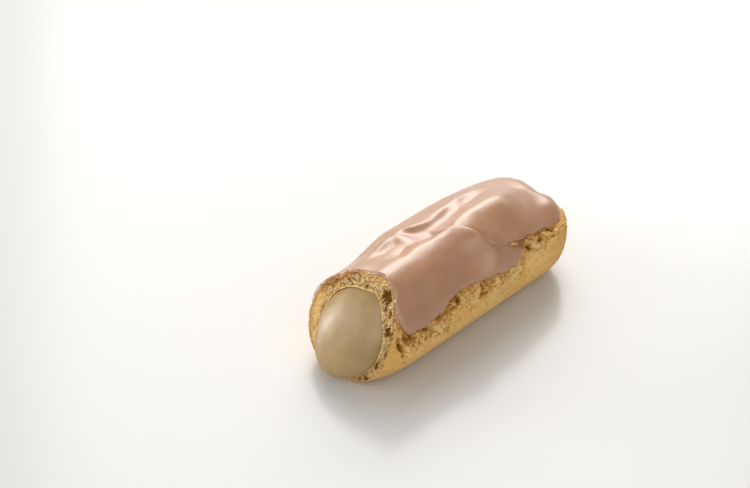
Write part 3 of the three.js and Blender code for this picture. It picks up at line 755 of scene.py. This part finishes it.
# Icing: milk-chocolate fondant spread warm over the top, where it sank into the folds, ran down the
# sides in laps with raised lips and set with a satin skin. It is cut through with the shell, and its
# cut edge has crumbled back a little.

ICING_RUN, ICING_FAN, ICING_ROWS = 190, 64, 84
LEAST_COAT, EDGE_ROUND, BROAD_WAVES, FINE_WAVES = 0.2, 2.4, 0.16, 0.06

# Lips: lines as (place across, place along) and (place along, place across), then nose, share kept,
# rise and the ranges in which they fade. A crease lies behind the front lip low on the side.
FRONT_LIP = [(-31, 1.2), (-26, 4.2), (-21.5, 5.4), (-16, 3.6), (-10.7, 1.9), (-5.6, -1.9), (-2.5, -6)]
FRONT_NOSE, FRONT_KEPT, FRONT_RISE = 2.4, 0.25, 3.9
FRONT_FADE, FRONT_LOWER, FRONT_LESS = (-5.5, -1.5), (-15, -6), 0.45
REAR_LIP = [(3, -20), (9, -21.2), (15, -22.8), (19, -26), (24, -34)]
REAR_NOSE, REAR_KEPT, REAR_RISE = 1.1, 1.0, 1.7
REAR_FADE_ACROSS, REAR_FADE_ALONG, REAR_FROM_FRONT = (-5, 4), (24, 40), (-5, -1.8)
LIP_FADE_RUN = 8
CREASE, CREASE_AT, CREASE_WIDTH, CREASE_FADE = 0.65, 0.4, 0.9, (-20, -10)
BARE_SPOT, BARE_LONG, BARE_WIDE, BARE_LEAN, BARE_EDGE = (17.2, -24.3), 4.6, 1.4, 0.35, (0.55, 1)


def lip(inside, nose, kept):
    """Height of a lap's lip at a distance inside its edge: a quarter of a sine as long as its nose,
    easing off further in to the share that is kept as a bell does."""
    rise = np.sin(np.clip(inside / nose, 0, 1) * np.pi / 2)
    return rise * (kept + (1 - kept) * np.exp(-((np.clip(inside, 0, None) / LIP_FADE_RUN) ** 2)))


def bare_spot(along, across):
    """Small gap under the rear lip that the icing ran past: an ellipse leaning down to the right."""
    away = along - BARE_SPOT[0]
    aside = across - BARE_SPOT[1] + BARE_LEAN * away
    return 1 - ease(np.hypot(away / BARE_LONG, aside / BARE_WIDE), *BARE_EDGE)


def icing_coat(along, across, inside, from_cut, points):
    """Thickness of the icing: a full coat with both laps and the crease between them, thinner by the
    cut, uneven in soft waves, and rounded off as a quarter circle at its lower edge."""
    behind_front = along - follow(FRONT_LIP, across)
    front = lip(-behind_front, FRONT_NOSE, FRONT_KEPT) * (1 - ease(across, *FRONT_FADE))
    front = front * (1 - FRONT_LESS * ease(across, *FRONT_LOWER))
    rear = lip(across - follow(REAR_LIP, along), REAR_NOSE, REAR_KEPT)
    rear = rear * (1 - ease(across, *REAR_FADE_ACROSS)) * (1 - ease(along, *REAR_FADE_ALONG))
    rear_rise = REAR_RISE * rear * ease(behind_front, *REAR_FROM_FRONT)
    coat = ICING_COAT + np.maximum(FRONT_RISE * front, rear_rise)
    crease = np.exp(-(((behind_front - CREASE_AT) / CREASE_WIDTH) ** 2))
    crease = crease * (1 - ease(across, *CREASE_FADE))
    coat = coat - thin_by_cut(across, from_cut)[1] - CREASE * crease
    coat = coat + BROAD_WAVES * rough(points, pitch=9, seed=41)
    coat = coat + FINE_WAVES * rough(points, pitch=4, seed=42)
    short = 1 - np.clip(inside / EDGE_ROUND, 0, 1)
    return LEAST_COAT + (coat - LEAST_COAT) * np.sqrt(1 - short**2) * (1 - bare_spot(along, across))


def icing_point(x, heading, row, is_outside):
    """Point of the icing on a row between the top and its edge: the form moved out by the icing's bed and
    a thin gap for the underside, and by the coat as well for the outside."""
    place = skin(x, heading, 0)[0]
    angle = icing_edge(place) * row / (ICING_ROWS - 1)
    place, along, across = skin(x, heading, angle)
    inside = inside_icing(place, angle)
    base = form_point(x, heading, angle, 0, NO_WALL)
    from_cut = x - cut_x(base)
    height = icing_bed(along, across, inside, from_cut) + ICING_GAP
    if is_outside:
        height = height + icing_coat(along, across, inside, from_cut, base)
    return form_point(x, heading, angle, height, NO_WALL), bare_spot(along, across)


def border(numbers):
    """Closed border of laid lines: down the right from the top, back along the foot and up the left."""
    return np.concatenate([numbers[-1], numbers[1:-1, -1][::-1], numbers[0][::-1]])


LAP_PLACE, LAP_STEP = 33, 0.05


def lapped(shares, start, side, row):
    """Places along x from the cut to the spine's end that all rows turn at the front lip: the shares up
    to a half run from the cut to the lip, the others from the lip to the end."""
    place = skin(SPINE_END, side, 0)[0] + np.sign(-side) * LAP_PLACE
    across = SKIN_RADIUS * icing_edge(place) * row / (ICING_ROWS - 1) * np.sin(side)
    turn = follow(FRONT_LIP, across) + LAP_STEP
    before = start + (turn - start) * np.clip(2 * shares[:, None], 0, 1)
    return before + (SPINE_END - turn) * np.clip(2 * shares[:, None] - 1, 0, 1)


LEAST_CRUMBLED, COARSE_CRUMBLED, FINE_CRUMBLED = 0.1, 0.35, 0.2
COARSE_EDGE, FINE_EDGE, THIN_COAT = (-0.3, 0.7), (-0.2, 0.8), (0.3, 1.3)


def crumbled(points):
    """How far the cut edge of the icing has crumbled back: a little everywhere, and more where noise of
    two pitches round the cut is high."""
    flat = points * IN_CUT
    coarse = ease(rough(flat, pitch=1.9, seed=43), *COARSE_EDGE)
    fine = ease(rough(flat, pitch=0.8, seed=44), *FINE_EDGE)
    return LEAST_CRUMBLED + COARSE_CRUMBLED * coarse + FINE_CRUMBLED * fine


rows = np.arange(ICING_ROWS)
shares = crowded(ICING_RUN, crowd=1.5, at=0.5, width=0.06)
layers = []
for is_outside in (True, False):
    starts = [start_on_cut(lambda x: icing_point(x, side, rows, is_outside)[0]) for side in sides]
    starts = [
        start + crumbled(icing_point(start, side, rows, is_outside)[0])
        for start, side in zip(starts, sides)]
    x, heading = path(shares, ICING_FAN, *starts)
    x = np.concatenate([
        lapped(shares, starts[0], sides[0], rows), x[ICING_RUN + 1:-ICING_RUN - 1],
        lapped(shares, starts[1], sides[1], rows)[::-1]])
    layer, bare = icing_point(x, heading, rows, is_outside)
    layers.append(layer)
outside_numbers = lay(0, ICING_RUN, ICING_FAN, ICING_ROWS, False)
under_numbers = outside_numbers + layers[0][..., 0].size
icing_faces = [
    sheet(outside_numbers), sheet(under_numbers[::-1]),
    sheet(np.vstack([border(outside_numbers), border(under_numbers)]))]
thin = 1 - ease(np.linalg.norm(layers[0] - layers[1], axis=-1), *THIN_COAT)

BROWN, LIGHT_BROWN, STREAK_BROWN = (0.455, 0.186, 0.061), (0.50, 0.212, 0.072), (0.38, 0.153, 0.050)
SPECK_BROWN, THIN_BROWN = (0.39, 0.164, 0.060), (0.56, 0.24, 0.085)
SPOT_GOLDEN, SPOT_PIT_SHADE = (0.93, 0.62, 0.22), (0.36, 0.15, 0.03)
STREAK_STRETCH = (0.6, 1, 0.45)
fondant = Finish(
    "milk_chocolate_fondant", Specular_IOR_Level=0.5, Subsurface_Weight=0.12, Subsurface_Scale=0.0015,
    Coat_Weight=1.0, Coat_Roughness=0.38, Coat_IOR=2.12)
fondant.shader.inputs["Subsurface Radius"].default_value = (1.0, 0.55, 0.35)
patch = fondant.spread(fondant.grain(0.016, 2), 0.3, 0.7)
brown = fondant.blend(patch, BROWN, LIGHT_BROWN)
streak = fondant.spread(fondant.grain(0.005, 3, STREAK_STRETCH), 0.4, 0.75, 0, 0.6)
brown = fondant.blend(streak, brown, STREAK_BROWN)
speck = fondant.spread(fondant.grain(0.0011, 2), 0.5, 0.8, 0, 0.2)
brown = fondant.blend(speck, brown, SPECK_BROWN)
thin_coat = fondant.spread(fondant.field("thin"), 0, 1, 0, 0.5)
brown = fondant.blend(thin_coat, brown, THIN_BROWN)
# The bare spot shows golden crust with dark flecks that are painted shade of small pits.
crust_bit = fondant.blend(
    fondant.spread(fondant.grain(0.0016, 3), 0.45, 0.62), SPOT_GOLDEN, SPOT_PIT_SHADE)
fondant.colour(fondant.blend(fondant.field("bare"), brown, crust_bit))
fondant.roughness(fondant.spread(fondant.grain(0.006, 3), 0.3, 0.7, 0.4, 0.52))
fondant.raise_by((fondant.grain(0.006, 2), 0.0006), (fondant.grain(0.0012, 2), 0.00005))

icing = put_together(
    "icing_spread", np.concatenate([layer.reshape(-1, 3) for layer in layers]),
    np.concatenate(icing_faces), [fondant.material], None,
    dict(thin=np.tile(thin.ravel(), 2), bare=np.tile(bare.ravel(), 2)))
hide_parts("icing")


# Stage: a plain pale floor, soft light panels that stand all round, the brightest high behind the
# eclair and a small low one that lights the cream, and an even pale room.

FLOOR_HALF = 3.0
FLOOR_GREY, FLOOR_PALE = (0.66, 0.66, 0.65), (0.69, 0.69, 0.68)
floor_mesh = bpy.data.meshes.new("floor")
floor_mesh.from_pydata(
    [(-FLOOR_HALF, -FLOOR_HALF, 0), (FLOOR_HALF, -FLOOR_HALF, 0), (FLOOR_HALF, FLOOR_HALF, 0),
     (-FLOOR_HALF, FLOOR_HALF, 0)], [], [(0, 1, 2, 3)])
pale_floor = Finish("pale_floor", Roughness=0.2, Specular_IOR_Level=0.5)
pale_floor.colour(pale_floor.blend(pale_floor.grain(0.4, 2), FLOOR_GREY, FLOOR_PALE))
floor_mesh.materials.append(pale_floor.material)
floor = bpy.data.objects.new("floor", floor_mesh)
bpy.context.scene.collection.objects.link(floor)

# Each panel: bearing and height of its middle in degrees, distance, width, height and brightness.
PANELS = [("back_panel", 43, 41.5, 1.2, 0.8, 0.79, 4.2), ("top_panel", 44, 66, 1.1, 0.34, 0.26, 3.4),
          ("far_panel", 22, 25, 1.1, 0.6, 0.35, 1.6), ("left_panel", 88, 30, 1.1, 0.8, 0.5, 0.5),
          ("low_panel", 124, 11, 0.8, 0.32, 0.28, 7.4), ("near_panel", 155, 30, 1.1, 0.7, 0.5, 1.6),
          ("horizon_panel", 56, 8, 1.3, 1.1, 0.34, 0.5), ("right_panel", -115, 38, 1.1, 1.3, 1.0, 0.86)]
PANEL_WHITE, ROOM_WHITE, ROOM_BRIGHTNESS = (1.0, 0.98, 0.95), (1.0, 0.99, 0.97, 1), 0.38
for name, bearing, height, distance, wide, tall, brightness in PANELS:
    bearing, height = np.radians([bearing, height])
    back = np.array([np.cos(bearing) * np.cos(height), np.sin(bearing) * np.cos(height), np.sin(height)])
    right = np.array([-np.sin(bearing), np.cos(bearing), 0])
    panel = bpy.data.lights.new(name, "AREA")
    panel.shape, panel.size, panel.size_y = "RECTANGLE", wide, tall
    panel.energy = brightness * np.pi * wide * tall
    panel.color = PANEL_WHITE
    light = bpy.data.objects.new(name, panel)
    turn = Matrix(np.column_stack([right, np.cross(back, right), back]).tolist())
    light.matrix_world = Matrix.Translation((back * distance).tolist()) @ turn.to_4x4()
    bpy.context.scene.collection.objects.link(light)

room = bpy.data.worlds.new("pale_room")
room.use_nodes = True
room.node_tree.nodes["Background"].inputs["Color"].default_value = ROOM_WHITE
room.node_tree.nodes["Background"].inputs["Strength"].default_value = ROOM_BRIGHTNESS
bpy.context.scene.world = room
bpy.context.scene.view_settings.view_transform = "Standard"


# Camera: a long lens from the front right of the cut, looking down at the eclair. The origin of the
# frame shows at a given place of the picture.

AZIMUTH, ELEVATION = np.radians([-45.7, 37.0])
DISTANCE, FOCAL_PIXELS, SENSOR_WIDTH = 0.705, 1826.0, 36.0
PICTURE = np.array([750.0, 488.0])
ORIGIN_PIXEL = np.array([446.0, 304.0])
back = np.array([
    np.sin(AZIMUTH) * np.cos(ELEVATION), -np.cos(AZIMUTH) * np.cos(ELEVATION), np.sin(ELEVATION)])
right = np.array([np.cos(AZIMUTH), np.sin(AZIMUTH), 0])
up = np.cross(back, right)
aside, down = (ORIGIN_PIXEL - PICTURE / 2) / FOCAL_PIXELS * DISTANCE
lens = bpy.data.cameras.new("camera")
lens.sensor_width = SENSOR_WIDTH
lens.lens = FOCAL_PIXELS / PICTURE[0] * lens.sensor_width
camera = bpy.data.objects.new("camera", lens)
turn = Matrix(np.column_stack([right, up, back]).tolist())
place = (DISTANCE * back - aside * right + down * up).tolist()
camera.matrix_world = Matrix.Translation(place) @ turn.to_4x4()
bpy.context.scene.collection.objects.link(camera)
bpy.context.scene.camera = camera
